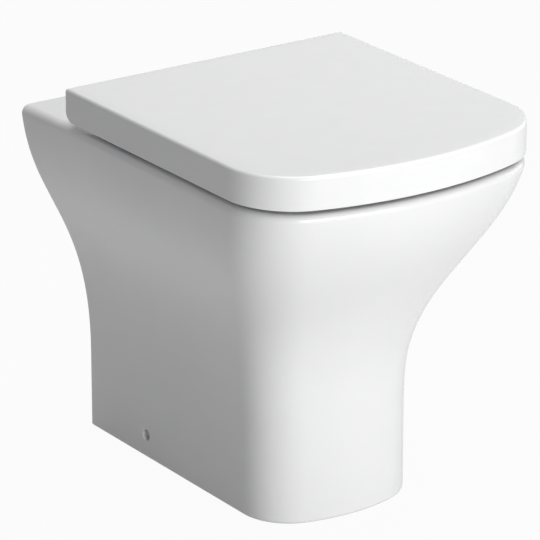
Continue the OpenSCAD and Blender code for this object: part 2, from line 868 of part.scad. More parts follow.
// depth of the sleeve's top under the platform's surface, and of its swelling under the ceiling
sleeve_deep = 1;
swell_low = 6;
swell_high = 5;
sleeve_top_z = pan_h - sleeve_deep;
sleeve_low_z = sleeve_top_z - sleeve_l;
stem_low_z = sleeve_low_z - slide - nut_h - stem_past_nut;

// turned stud: domed post with a neck, and a threaded stem through the platform
module hinge_post(s) {
    neck_h = wire_d + neck_spare;
    top = plate_top_z + post_h;
    low = neck_z - neck_h/2;
    high = neck_z + neck_h/2;
    shoulder = plate_top_z + shoulder_gap;
    color(steel) from_wall() translate([s*hinge_x, pivot_y, 0])
        rotate_extrude()
            polygon([
                [0, stem_low_z], [stem_d/2 - stem_chamfer, stem_low_z], [stem_d/2, stem_low_z + stem_chamfer],
                [stem_d/2, shoulder], [post_d/2, shoulder], [post_d/2, low],
                [neck_d/2, low], [neck_d/2, high], [post_d/2, high],
                [post_d/2, top - post_chamfer], [post_d/2 - post_chamfer, top], [0, top]]);
}

module hinge_plate(s) {
    hole_r = stem_d/2 + plate_hole_gap;
    r = plate_d/2;
    color(steel) from_wall() translate([s*hinge_x, pivot_y, pan_h + gasket_t])
        rotate_extrude()
            polygon([
                [hole_r, 0], [r, 0], [r, plate_t - plate_edge],
                [r - plate_edge, plate_t], [hole_r, plate_t]]);
}

module plate_gasket(s) {
    color(rubber) from_wall() translate([s*hinge_x, pivot_y, pan_h])
        difference() {
            cylinder(d = plate_d - 2*gasket_in, h = gasket_t);
            translate([0, 0, -past])
                cylinder(d = stem_d + 2*gasket_hole_gap, h = gasket_t + 2*past);
        }
}

// rubber sleeve, swollen below the platform
module expansion_sleeve(s) {
    bore = stem_d/2 + sleeve_bore_gap;
    swell_top = ceiling_z - sleeve_deep;
    color(rubber) from_wall() translate([s*hinge_x, pivot_y, 0])
        rotate_extrude()
            polygon([
                [bore, sleeve_low_z], [sleeve_d/2, sleeve_low_z], [bulge_d/2, sleeve_low_z + swell_low],
                [bulge_d/2, swell_top - swell_high], [sleeve_d/2, swell_top], [sleeve_d/2, sleeve_top_z],
                [bore, sleeve_top_z]]);
}

module sleeve_nut(s) {
    color(brass) from_wall() translate([s*hinge_x, pivot_y, sleeve_low_z - slide - nut_h])
        difference() {
            cylinder(d = nut_w, h = nut_h, $fn = 6);
            translate([0, 0, -past])
                cylinder(d = stem_d + 2*nut_gap, h = nut_h + 2*past);
        }
}

ceramic_pan();
lid();
seat_ring();
seat_buffers();
lid_buffers();
hinge_block(left);  // hinge_block_left
hinge_block(right);  // hinge_block_right
damper(left);  // seat_damper
damper(right);  // lid_damper
damper_shaft(left);  // seat_damper_shaft
damper_shaft(right);  // lid_damper_shaft
seat_pivot_pin();
lid_pivot_pin();
release_button(left);  // release_button_left
release_button(right);  // release_button_right
latch_clip(left);  // latch_clip_left
latch_clip(right);  // latch_clip_right
hinge_post(left);  // hinge_post_left
hinge_post(right);  // hinge_post_right
hinge_plate(left);  // hinge_plate_left
hinge_plate(right);  // hinge_plate_right
plate_gasket(left);  // plate_gasket_left
plate_gasket(right);  // plate_gasket_right
expansion_sleeve(left);  // expansion_sleeve_left
expansion_sleeve(right);  // expansion_sleeve_right
sleeve_nut(left);  // sleeve_nut_left
sleeve_nut(right);  // sleeve_nut_right
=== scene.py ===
from math import atan2, cos, pi, radians, sin, sqrt

import bmesh
import bpy
from mathutils import Matrix, Vector


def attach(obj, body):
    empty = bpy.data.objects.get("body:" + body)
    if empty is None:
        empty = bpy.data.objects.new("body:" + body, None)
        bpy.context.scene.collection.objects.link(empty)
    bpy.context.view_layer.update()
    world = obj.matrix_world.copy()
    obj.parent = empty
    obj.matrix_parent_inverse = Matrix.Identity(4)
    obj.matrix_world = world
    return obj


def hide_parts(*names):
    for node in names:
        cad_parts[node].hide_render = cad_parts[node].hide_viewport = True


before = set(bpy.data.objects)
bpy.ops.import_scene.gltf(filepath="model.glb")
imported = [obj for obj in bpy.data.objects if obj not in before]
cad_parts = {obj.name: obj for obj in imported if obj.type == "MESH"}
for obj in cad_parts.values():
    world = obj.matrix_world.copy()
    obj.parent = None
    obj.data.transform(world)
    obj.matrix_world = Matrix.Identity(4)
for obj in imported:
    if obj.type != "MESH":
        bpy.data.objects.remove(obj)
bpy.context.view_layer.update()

# Sizes in metres, the same as in the solids. Outlines are drawn from the wall: y = 0 is the wall
# and y falls towards the front.
WALL = 0.244

RIM_Z, RIM_HALF, RIM_REACH, RIM_EDGE = 0.395, 0.182, 0.4864, 0.010
RIM_TAPER, TAPER_LENGTH, TAPER_MIDDLE = 0.0036, 0.090, 0.05
RIM_CORNER, RIM_BOW = 0.0794, 0.4084
# narrow flat strip beside the rim's rounded edges
RIM_STRIP = 0.0012
FOOT_HALF, FOOT_REACH, FOOT_EDGE = 0.099, 0.365, 0.004
FOOT_CORNER, FOOT_BOW, FOOT_INNER_EDGE = 0.060, 0.200, 0.002
CHINA, CEILING_Z, CEILING_R = 0.012, 0.379, 0.008
# the skirt's outside and inside run past the wall by this much and are then cut off at it
OUTER_PAST, INNER_PAST, PAST_R = 0.020, 0.008, 0.002
BEHIND_WALL = (-0.3, WALL, -0.1), (0.3, WALL + 0.1, 0.5)
# each flare: the heights where it starts and ends, and the pulls of its curve at both
SIDE_FLARE = (0.092, 0.4185, 0.55, 0.42)
FRONT_FLARE = (0.134, 0.437, 0.38, 0.39)

BOWL_HALF, BOWL_REAR, BOWL_FRONT, BOWL_SLOPE = 0.130, 0.160, 0.4384, 1.2
BOWL_REAR_R, BOWL_FRONT_R, BOWL_LIP = 0.070, 0.105, 0.007
# least straight run left between the bowl's corners, and how far its room is cut over the ceiling
BOWL_STRAIGHT, BOWL_OVER = 0.0005, 0.010
SUMP_Z, SUMP_HALF, SUMP_REAR, SUMP_FRONT, SUMP_EDGE = 0.046, 0.042, 0.250, 0.302, 0.014

OUTLET_Z, OUTLET_R, OUTLET_BORE_R = 0.180, 0.051, 0.041
INLET_Z, INLET_R, INLET_BORE_R, INLET_NECK_R = 0.345, 0.040, 0.028, 0.023
# how far in front of the wall each tube and bore begins and ends
SPIGOT_SPAN, HORN_SPAN = (0.075, 0.020), (0.184, 0.014)
OUTLET_SPAN, INLET_SPAN, NECK_SPAN = (0.061, -0.05), (0.059, -0.05), (0.186, 0.04)

# the trapway: places on its path as y and z, the lengths of their handles, and their widths
TRAP_R, TRAP_BORE_R = 0.038, 0.028
TRAP_PLACES = ((-SUMP_REAR - TRAP_R, 0.080), (-0.120, 0.200), (-0.055, OUTLET_Z))
TRAP_PULLS = ((0.02, 0.130), (0.075, 0.0325), (0.0325, 0.02))
TRAP_WIDTHS, TRAP_BORE_WIDTHS = (1, 1, 1.237), (1, 1, 1.357)

BOLT_X, BOLT_R, BOLT_SPAN = 0.0775, 0.007, (0.37, 0.41)
SIDE_HOLE_Y, SIDE_HOLE_Z, SIDE_HOLE_R, SIDE_HOLE_HALF = -0.111, 0.027, 0.00625, 0.12
HOLE_EASE, TUBE_EASE, BORE_EASE = 0.0012, 0.002, 0.0015

LID_HALF, LID_REAR, LID_FRONT, LID_CORNER, LID_BOW = 0.180, 0.086, 0.488, 0.081, 0.410
LID_LOW, LID_UNDER, LID_TOP = 0.4005, 0.4335, 0.4375
LID_SIDE, LID_EDGE, LID_LOW_EDGE = 0.0045, 0.0035, 0.0008
LID_INNER_EDGE, LID_INNER_R, LID_INNER_FLAT = 0.0006, 0.003, 0.004
LID_BACK_R, LID_LEAST_R = 0.0018, 0.0004
# the lid's top falls away by this much over a border of this width
LID_FALL, LID_BORDER = 0.0006, 0.014
# radius of its rear lower corners, which pass over the platform as it swings, and half the widths
# of the two shapes that cut them, both wider than the lid
LID_REAR_R, SWING_HALF, ROUND_HALF = 0.0147, 0.19, 0.2

PIVOT_Y, PIVOT_Z, PIVOT_IN = -0.1055, 0.420, 0.0195
EAR_R, BORE_R = 0.0115, 0.00406
LID_EAR, SEAT_EAR = (0.098, 0.116), (0.036, 0.057)
# the lid's bores stop short of the ears' far side, and the seat's bores are this deep
LID_BORE_STOP, SEAT_BORE_DEPTH = 0.003, 0.015
# the necks from the ears to the seat, and the room in the lid for the hinge blocks
NECK_LENGTH, NECK_DROP = 0.0225, 0.008
BLOCK_GAP, BLOCK_BACK = 0.0015, 0.0125
# how far a cutting shape runs past a face, and how far one piece bites into another
PAST, BITE, HAIR = 0.001, 0.0005, 0.00001

SEAT_LOW, SEAT_TOP, SEAT_IN, SEAT_REAR = 0.401, 0.424, 0.0065, 0.122
HOLE_HALF, HOLE_REAR, HOLE_FRONT = 0.1135, 0.160, 0.4215
SEAT_EDGE, SEAT_LOW_EDGE, SEAT_STRIP = 0.007, 0.001, 0.001
SEAT_BACK_R, SEAT_LEAST_R = 0.010, 0.003
SEAT_DISH, DISH_WIDTH, DISH_RINGS = 0.002, 0.027, 9

# points along the parts of half an outline
BACK_POINTS, REAR_POINTS, SIDE_POINTS, CORNER_POINTS, FRONT_POINTS = 10, 8, 28, 20, 14
# rings along the long runs of the pan's skin: the bowl, its room, the skirt, the foot, the inside
BOWL_RINGS, ROOM_RINGS, SKIRT_RINGS, FOOT_RINGS, INNER_RINGS = 34, 30, 58, 4, 26
# sides of the round shapes
OUTLET_SIDES, INLET_SIDES, EAR_SIDES, HOLE_SIDES, SWING_SIDES = 96, 80, 64, 48, 128

# distances within which points count as one, and within which a point lies on a circle
WELD, COPY_WELD = 0.000002, 0.000005
NEAR_PLANE, NEAR_CIRCLE = 0.00002, 0.00005
# turns between two faces: sharp enough to round on a moulding and on a small piece, nearly flat,
# and shaded as one
SHARP, CORNER_TURN, FLAT_TURN, SMOOTH_TURN = 0.5, radians(50), radians(1), radians(35)

# where the camera stands: degrees round and up, metres back, left and up from a point in the part
CAMERA_TURN, CAMERA_RISE = -34.75, 20.64
CAMERA_AIM, CAMERA_BACK, CAMERA_LEFT, CAMERA_UP = (0, -0.006, 0.200), 4.332, 0.02385, 0.04037
# the lens: film width in millimetres, focal length and film width in the photograph's pixels, and
# how far it sees in metres
FILM, FOCAL_PIXELS, PHOTO_PIXELS, CAMERA_END = 36, 4035, 540, 40

FLOOR_SIDE, FLOOR_Z = 16, -0.0004
FLOOR_PAINT, FILL_LIGHT = (0.54, 0.54, 0.54, 1), (0.118, 0.119, 0.125, 1)
# how much plain white the camera sees, and how much reflections show
FLOOR_WHITE, STUDIO_WHITE = (0.95, 0.6), (1, 0.8)
# place, aim, width and height in metres, and power in watts
SOFTBOXES = {
    "front": ((-0.12, -2.7, 0.65), (0, 0, 0.25), (2.2, 1.1), 58),
    "top": ((0.35, 0.1, 2.2), (0, 0, 0.3), (1.6, 1.6), 27),
    "right": ((2.6, -0.3, 0.9), (0, 0, 0.2), (1.8, 1.4), 8),
    "low_rear": ((-0.1, 2.4, 0.2), (0, 0, 0.2), (2.0, 0.34), 12),
}


# Outlines

def mix(a, b, share):
    return a + (b - a) * share


def steps(a, b, count):
    return [mix(a, b, i / count) for i in range(count + 1)]


def quarter(count):
    """Sine and cosine at even steps of a quarter turn."""
    return [(sin(a), cos(a)) for a in steps(0, pi / 2, count)]


def bezier(a, b, c, d, t):
    u = 1 - t
    return a * u**3 + 3 * b * t * u * u + 3 * c * t * t * u + d * t**3


def flare(z, start, end, low, high):
    """How far a flare has opened at height z."""
    if z <= start:
        return 0.0
    span = end - start
    below, above = 0.0, 1.0
    for _ in range(40):
        t = (below + above) / 2
        if bezier(start, start + low * span, end - high * span, end, t) < z:
            below = t
        else:
            above = t
    return below * below * (3 - 2 * below)


SIDE_FULL = flare(RIM_Z - RIM_EDGE, *SIDE_FLARE)
FRONT_FULL = flare(RIM_Z - RIM_EDGE, *FRONT_FLARE)


def outline(half, rear, front, rear_r, front_r, bow=None):
    """Closed outline in plan, from the middle of the back round by the left side. The front is
    straight, or bowed with radius bow."""
    dx = half - front_r
    if bow is None:
        corner_y, turn = front + front_r, 1.5 * pi
    else:
        corner_y = front + bow - sqrt((bow - front_r) ** 2 - dx * dx)
        turn = pi + atan2(front + bow - corner_y, dx)
    pts = [(-x, rear) for x in steps(0, half - rear_r, BACK_POINTS)[:-1]]
    for a in steps(pi / 2, pi, REAR_POINTS):
        pts.append((-half + rear_r + rear_r * cos(a), rear - rear_r + rear_r * sin(a)))
    for y in steps(rear - rear_r, corner_y, SIDE_POINTS)[1:-1]:
        pts.append((-half, y))
    for a in steps(pi, turn, CORNER_POINTS):
        pts.append((-dx + front_r * cos(a), corner_y + front_r * sin(a)))
    for i in range(1, FRONT_POINTS + 1):
        if bow is None:
            pts.append((mix(-dx, 0, i / FRONT_POINTS), front))
        else:
            a = mix(turn, 1.5 * pi, i / FRONT_POINTS)
            pts.append((bow * cos(a), front + bow + bow * sin(a)))
    return pts + [(-x, y) for x, y in reversed(pts[1:-1])]


def ring(pts, z):
    return [(x, y + WALL, z) for x, y in pts]


def skirt_ring(z, inset, rear):
    side = flare(min(z, RIM_Z), *SIDE_FLARE) / SIDE_FULL
    front = flare(min(z, RIM_Z), *FRONT_FLARE) / FRONT_FULL
    spread = RIM_TAPER * side
    pts = outline(mix(FOOT_HALF, RIM_HALF, side) - spread - inset, rear,
                  inset - mix(FOOT_REACH, RIM_REACH, front), PAST_R,
                  mix(FOOT_CORNER, RIM_CORNER, front) - inset,
                  mix(FOOT_BOW, RIM_BOW, front) - inset)
    out = []
    for x, y in pts:
        near = max(0, min(1, 1 + y / TAPER_LENGTH)) ** 2
        out.append((x + spread * near * max(-1, min(1, x / TAPER_MIDDLE)), y))
    return ring(out, z)


def bowl_ring(z, grow):
    share = (max(0, min(z, RIM_Z) - SUMP_Z) / (RIM_Z - SUMP_Z)) ** BOWL_SLOPE
    half = mix(SUMP_HALF, BOWL_HALF, share) + grow
    rear = grow - mix(SUMP_REAR, BOWL_REAR, share)
    front = -grow - mix(SUMP_FRONT, BOWL_FRONT, share)
    most = min(half, (rear - front) / 2) - BOWL_STRAIGHT
    return ring(outline(half, rear, front, min(most, BOWL_REAR_R + grow),
                        min(most, BOWL_FRONT_R + grow)), z)


def lid_ring(z, inset):
    return ring(outline(LID_HALF - inset, -LID_REAR - inset, inset - LID_FRONT,
                        max(LID_LEAST_R, LID_BACK_R - inset), LID_CORNER - inset,
                        LID_BOW - inset), z)


def seat_ring(z, inset):
    d = SEAT_IN + inset
    return ring(outline(LID_HALF - d, -SEAT_REAR - inset, d - LID_FRONT,
                        max(SEAT_LEAST_R, SEAT_BACK_R - inset), LID_CORNER - d, LID_BOW - d), z)


def hole_ring(z, grow):
    return ring(outline(HOLE_HALF + grow, grow - HOLE_REAR, -HOLE_FRONT - grow,
                        BOWL_REAR_R + grow, BOWL_FRONT_R + grow), z)


# Modelling

def deselect():
    bpy.ops.object.select_all(action="DESELECT")


def only(obj):
    deselect()
    obj.select_set(True)
    bpy.context.view_layer.objects.active = obj


def new_piece(name):
    """Names the primitive just added and puts its place into its mesh."""
    obj = bpy.context.object
    obj.name = obj.data.name = name
    bpy.ops.object.transform_apply(location=True, rotation=True, scale=True)
    return obj


def open_mesh(obj):
    only(obj)
    bpy.ops.object.mode_set(mode="EDIT")
    return bmesh.from_edit_mesh(obj.data)


def close_mesh():
    bpy.ops.object.mode_set(mode="OBJECT")


def face_outwards(obj):
    open_mesh(obj)
    bpy.ops.mesh.select_all(action="SELECT")
    bpy.ops.mesh.remove_doubles(threshold=WELD)
    bpy.ops.mesh.normals_make_consistent(inside=False)
    close_mesh()


def place_ring(obj, before, after):
    """Moves the selected ring of points from one set of places to the next."""
    mesh = bmesh.from_edit_mesh(obj.data)
    spot = {tuple(Vector(p)): q for p, q in zip(before, after)}
    for v in mesh.verts:
        if v.select:
            v.co = spot[tuple(v.co)]
    bmesh.update_edit_mesh(obj.data)


def skin(name, rings, closed=False):
    """A circle, extruded ring by ring. Both ends are filled, or bridged to each other."""
    deselect()
    bpy.ops.mesh.primitive_circle_add(vertices=len(rings[0]), radius=0.1)
    obj = new_piece(name)
    circle = [tuple(v.co) for v in obj.data.vertices]
    open_mesh(obj)
    bpy.ops.mesh.select_all(action="SELECT")
    place_ring(obj, circle, rings[0])
    for before, after in zip(rings, rings[1:]):
        bpy.ops.mesh.extrude_edges_move()
        place_ring(obj, before, after)
    if closed:
        bpy.ops.mesh.select_all(action="DESELECT")
        mesh = bmesh.from_edit_mesh(obj.data)
        for e in mesh.edges:
            e.select_set(e.is_boundary)
        bmesh.update_edit_mesh(obj.data)
        bpy.ops.mesh.bridge_edge_loops()
    else:
        bpy.ops.mesh.select_all(action="SELECT")
        bpy.ops.mesh.fill_holes(sides=0)
    close_mesh()
    face_outwards(obj)
    return obj


def block(name, low, high):
    deselect()
    bpy.ops.mesh.primitive_cube_add(size=1, location=[(a + b) / 2 for a, b in zip(low, high)],
                                    scale=[b - a for a, b in zip(low, high)])
    return new_piece(name)


def rod(name, start, end, radius, sides):
    deselect()
    run = Vector(end) - Vector(start)
    bpy.ops.mesh.primitive_cylinder_add(vertices=sides, radius=radius, depth=run.length,
                                        location=Vector(start) + run / 2,
                                        rotation=run.to_track_quat("Z", "Y").to_euler())
    return new_piece(name)


def wall_rod(name, span, z, radius, sides):
    """Rod square to the wall. Its span is how far in front of the wall it begins and ends."""
    return rod(name, (0, WALL - span[0], z), (0, WALL - span[1], z), radius, sides)


def pivot_rod(name, span, radius, sides):
    """Rod on the line that seat and lid turn about."""
    y = WALL + PIVOT_Y
    return rod(name, (span[0], y, PIVOT_Z), (span[1], y, PIVOT_Z), radius, sides)


def on_side(side, inner, outer):
    """Both ends of a stretch on one side, the lower one first."""
    return sorted((side * inner, side * outer))


def tube(name, radius, places, pulls, widths):
    """Round tube along a curve. Each place has level handles of its own lengths."""
    deselect()
    bpy.ops.curve.primitive_bezier_curve_add()
    curve = bpy.context.object.data
    points = curve.splines[0].bezier_points
    points.add(len(places) - 2)
    for p, (y, z), (before, after), width in zip(points, places, pulls, widths):
        p.handle_left_type = p.handle_right_type = "FREE"
        p.co = (0, y + WALL, z)
        p.handle_left = (0, y + WALL - before, z)
        p.handle_right = (0, y + WALL + after, z)
        p.radius = width
    curve.resolution_u = 24
    curve.bevel_depth = radius
    curve.bevel_resolution = 12
    curve.use_fill_caps = True
    bpy.ops.object.convert(target="MESH")
    obj = new_piece(name)
    face_outwards(obj)
    return obj


def combine(obj, other, operation):
    only(obj)
    m = obj.modifiers.new("combine", "BOOLEAN")
    m.operation, m.solver, m.object = operation, "EXACT", other
    bpy.ops.object.modifier_apply(modifier=m.name)
    bpy.data.objects.remove(other)


def cut(obj, other):
    combine(obj, other, "DIFFERENCE")


def add(obj, other):
    combine(obj, other, "UNION")


def ease_edges(obj, test, width):
    """Rounds the sharp edges whose two ends pass the test."""
    mesh = open_mesh(obj)
    bpy.ops.mesh.select_all(action="DESELECT")
    found = False
    for e in mesh.edges:
        if (all(test(v.co) for v in e.verts) and len(e.link_faces) == 2
                and e.calc_face_angle() > SHARP):
            e.select_set(True)
            found = True
    bmesh.update_edit_mesh(obj.data)
    if found:
        bpy.ops.mesh.bevel(offset=width, segments=3, affect="EDGES")
    close_mesh()


def on_circle(axis, place, centre, radius):
    """Test for points of a circle that lies across an axis at a place along it."""
    others = [i for i in range(3) if i != axis]

    def test(p):
        away = sqrt(sum((p[i] - centre[i]) ** 2 for i in others))
        return abs(p[axis] - place) < NEAR_PLANE and abs(away - radius) < NEAR_CIRCLE
    return test


def wear(obj, material, body, slot, *nodes):
    """Gives a piece its finish, its shading and its place in the moving model."""
    only(obj)
    bpy.ops.object.shade_smooth_by_angle(angle=SMOOTH_TURN)
    m = obj.modifiers.new("even_shading", "WEIGHTED_NORMAL")
    m.keep_sharp = True
    bpy.ops.object.modifier_apply(modifier=m.name)
    obj.data.materials.clear()
    obj.data.materials.append(material)
    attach(obj, body)
    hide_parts(*nodes)


# Finishes

def finish(name, colour, roughness, metallic=0.0, coat=0.0, coat_roughness=0.05, specular=0.5):
    mat = bpy.data.materials.new(name)
    mat.use_nodes = True
    shader = mat.node_tree.nodes["Principled BSDF"]
    shader.inputs["Base Color"].default_value = (*colour, 1)
    shader.inputs["Roughness"].default_value = roughness
    shader.inputs["Metallic"].default_value = metallic
    shader.inputs["Coat Weight"].default_value = coat
    shader.inputs["Coat Roughness"].default_value = coat_roughness
    shader.inputs["Specular IOR Level"].default_value = specular
    return mat, mat.node_tree, shader


def noise(tree, scale, detail, stretch=(1, 1, 1)):
    place = tree.nodes.new("ShaderNodeTexCoord")
    mapping = tree.nodes.new("ShaderNodeMapping")
    mapping.inputs["Scale"].default_value = stretch
    grain = tree.nodes.new("ShaderNodeTexNoise")
    grain.inputs["Scale"].default_value = scale
    grain.inputs["Detail"].default_value = detail
    tree.links.new(place.outputs["Object"], mapping.inputs["Vector"])
    tree.links.new(mapping.outputs["Vector"], grain.inputs["Vector"])
    return grain


def vary_colour(tree, shader, grain, dark, light):
    ramp = tree.nodes.new("ShaderNodeValToRGB")
    ends = ramp.color_ramp.elements
    ends[0].position, ends[1].position = 0.35, 0.65
    ends[0].color, ends[1].color = (*dark, 1), (*light, 1)
    tree.links.new(grain.outputs["Fac"], ramp.inputs["Fac"])
    tree.links.new(ramp.outputs["Color"], shader.inputs["Base Color"])


def vary_roughness(tree, shader, grain, low, high):
    span = tree.nodes.new("ShaderNodeMapRange")
    span.inputs["To Min"].default_value = low
    span.inputs["To Max"].default_value = high
    tree.links.new(grain.outputs["Fac"], span.inputs["Value"])
    tree.links.new(span.outputs["Result"], shader.inputs["Roughness"])


def ripple(tree, shader, grain, strength, height):
    bump = tree.nodes.new("ShaderNodeBump")
    bump.inputs["Strength"].default_value = strength
    bump.inputs["Distance"].default_value = height
    tree.links.new(grain.outputs["Fac"], bump.inputs["Height"])
    tree.links.new(bump.outputs["Normal"], shader.inputs["Normal"])
    tree.links.new(bump.outputs["Normal"], shader.inputs["Coat Normal"])


def white_glaze():
    mat, tree, shader = finish("white_glaze", (0.88, 0.88, 0.88), 0.15, coat=0.3,
                               coat_roughness=0.03)
    vary_colour(tree, shader, noise(tree, 9, 2), (0.870, 0.871, 0.873), (0.888, 0.888, 0.886))
    ripple(tree, shader, noise(tree, 22, 1.5), 0.05, 0.0006)
    return mat


def gloss_moulding():
    mat, tree, shader = finish("gloss_moulding", (0.88, 0.88, 0.88), 0.2, coat=0.2,
                               coat_roughness=0.06)
    vary_colour(tree, shader, noise(tree, 30, 2), (0.874, 0.875, 0.877), (0.886, 0.886, 0.886))
    vary_roughness(tree, shader, noise(tree, 80, 3), 0.17, 0.23)
    ripple(tree, shader, noise(tree, 400, 2), 0.03, 0.0002)
    return mat


def satin_moulding():
    mat, tree, shader = finish("satin_moulding", (0.80, 0.80, 0.80), 0.35)
    vary_colour(tree, shader, noise(tree, 90, 3), (0.785, 0.787, 0.790), (0.815, 0.815, 0.815))
    vary_roughness(tree, shader, noise(tree, 160, 3), 0.30, 0.42)
    ripple(tree, shader, noise(tree, 900, 2), 0.08, 0.0002)
    return mat


def grey_moulding():
    mat, tree, shader = finish("grey_moulding", (0.50, 0.51, 0.52), 0.45)
    vary_colour(tree, shader, noise(tree, 220, 3), (0.48, 0.49, 0.50), (0.54, 0.55, 0.56))
    vary_roughness(tree, shader, noise(tree, 200, 3), 0.38, 0.5)
    ripple(tree, shader, noise(tree, 1200, 2), 0.10, 0.0002)
    return mat


def turned_steel():
    mat, tree, shader = finish("turned_steel", (0.62, 0.62, 0.63), 0.26, metallic=1.0)
    vary_colour(tree, shader, noise(tree, 120, 3), (0.58, 0.58, 0.59), (0.66, 0.66, 0.67))
    vary_roughness(tree, shader, noise(tree, 240, 4, (1, 1, 9)), 0.20, 0.36)
    ripple(tree, shader, noise(tree, 500, 3, (1, 1, 12)), 0.08, 0.0001)
    return mat


def nut_brass():
    mat, tree, shader = finish("nut_brass", (0.72, 0.53, 0.24), 0.32, metallic=1.0)
    vary_colour(tree, shader, noise(tree, 180, 3), (0.66, 0.47, 0.20), (0.76, 0.58, 0.28))
    vary_roughness(tree, shader, noise(tree, 240, 3), 0.26, 0.40)
    ripple(tree, shader, noise(tree, 700, 3), 0.08, 0.0001)
    return mat


def pale_rubber():
    mat, tree, shader = finish("pale_rubber", (0.66, 0.66, 0.65), 0.62, specular=0.35)
    vary_colour(tree, shader, noise(tree, 300, 4), (0.62, 0.62, 0.61), (0.70, 0.70, 0.69))
    vary_roughness(tree, shader, noise(tree, 260, 3), 0.55, 0.7)
    ripple(tree, shader, noise(tree, 1500, 2), 0.12, 0.0002)
    return mat


# The pan

def bowl_up(grow, top, count):
    """Rings of the bowl from the sump's rounded bottom edge up to a height."""
    low = SUMP_Z - grow
    rings = [bowl_ring(low + SUMP_EDGE * (1 - c), grow - SUMP_EDGE * (1 - s))
             for s, c in quarter(6)]
    return rings + [bowl_ring(z, grow) for z in steps(low + SUMP_EDGE, top, count)[1:]]


def skirt_rings():
    """The pan's outside and inside as one skin, from the sump over the rim to under the bowl."""
    rear, inner = OUTER_PAST, INNER_PAST
    ceiling = CEILING_Z - CEILING_R
    rings = bowl_up(0, RIM_Z - BOWL_LIP, BOWL_RINGS)
    rings += [bowl_ring(RIM_Z - BOWL_LIP * (1 - s), BOWL_LIP * (1 - c))
              for s, c in quarter(7)[1:]]
    rings.append(bowl_ring(RIM_Z, BOWL_LIP + RIM_STRIP))
    rings.append(skirt_ring(RIM_Z, RIM_EDGE + RIM_STRIP, rear))
    rings += [skirt_ring(RIM_Z - RIM_EDGE * (1 - c), RIM_EDGE * (1 - s), rear)
              for s, c in quarter(9)]
    rings += [skirt_ring(z, 0, rear)
              for z in steps(RIM_Z - RIM_EDGE, SIDE_FLARE[0], SKIRT_RINGS)[1:]]
    rings += [skirt_ring(z, 0, rear) for z in steps(SIDE_FLARE[0], FOOT_EDGE, FOOT_RINGS)[1:]]
    rings += [skirt_ring(FOOT_EDGE * (1 - s), FOOT_EDGE * (1 - c), rear)
              for s, c in quarter(5)[1:]]
    rings.append(skirt_ring(0, CHINA - FOOT_INNER_EDGE, inner))
    rings.append(skirt_ring(FOOT_INNER_EDGE, CHINA, inner))
    rings += [skirt_ring(z, CHINA, inner) for z in steps(SIDE_FLARE[0], ceiling, INNER_RINGS)]
    rings += [skirt_ring(CEILING_Z - CEILING_R * (1 - s), CHINA + CEILING_R * (1 - c), inner)
              for s, c in quarter(4)[1:]]
    rings += [bowl_ring(CEILING_Z - CEILING_R * (1 - c), CHINA + CEILING_R * (1 - s))
              for s, c in quarter(4)]
    return rings + list(reversed(bowl_up(CHINA, ceiling, INNER_RINGS)))[1:]


def china_pan(glaze):
    pan = skin("china_pan", skirt_rings())
    hinge_y, hole_y = WALL + PIVOT_Y, WALL + SIDE_HOLE_Y

    works = tube("trapway", TRAP_R, TRAP_PLACES, TRAP_PULLS, TRAP_WIDTHS)
    add(works, wall_rod("spigot", SPIGOT_SPAN, OUTLET_Z, OUTLET_R, OUTLET_SIDES))
    add(works, wall_rod("flush_horn", HORN_SPAN, INLET_Z, INLET_R, INLET_SIDES))
    cut(works, skin("bowl_room", bowl_up(CHINA / 2, CEILING_Z + BOWL_OVER, ROOM_RINGS)))
    add(pan, works)

    bores = tube("trap_bore", TRAP_BORE_R, TRAP_PLACES, TRAP_PULLS, TRAP_BORE_WIDTHS)
    add(bores, wall_rod("outlet_bore", OUTLET_SPAN, OUTLET_Z, OUTLET_BORE_R, OUTLET_SIDES))
    add(bores, wall_rod("inlet_bore", INLET_SPAN, INLET_Z, INLET_BORE_R, INLET_SIDES))
    add(bores, wall_rod("inlet_neck", NECK_SPAN, INLET_Z, INLET_NECK_R, EAR_SIDES))
    for side in (-1, 1):
        x = side * BOLT_X
        low, high = [(x, hinge_y, z) for z in BOLT_SPAN]
        add(bores, rod("bolt_hole", low, high, BOLT_R, HOLE_SIDES))
    left, right = [(x, hole_y, SIDE_HOLE_Z) for x in (-SIDE_HOLE_HALF, SIDE_HOLE_HALF)]
    add(bores, rod("side_hole", left, right, SIDE_HOLE_R, HOLE_SIDES))
    add(bores, block("behind_wall", *BEHIND_WALL))
    cut(pan, bores)

    for side in (-1, 1):
        bolt = (side * BOLT_X, hinge_y, 0)
        ease_edges(pan, on_circle(2, RIM_Z, bolt, BOLT_R), HOLE_EASE)
        hole = (0, hole_y, SIDE_HOLE_Z)
        ease_edges(pan, on_circle(0, side * FOOT_HALF, hole, SIDE_HOLE_R), HOLE_EASE)
    for (_, end), z, radius, bore_r in ((SPIGOT_SPAN, OUTLET_Z, OUTLET_R, OUTLET_BORE_R),
                                        (HORN_SPAN, INLET_Z, INLET_R, INLET_BORE_R)):
        ease_edges(pan, on_circle(1, WALL - end, (0, 0, z), radius), TUBE_EASE)
        ease_edges(pan, on_circle(1, WALL - end, (0, 0, z), bore_r), BORE_EASE)
    wear(pan, glaze, "pan", "china", "ceramic_pan")


# The lid

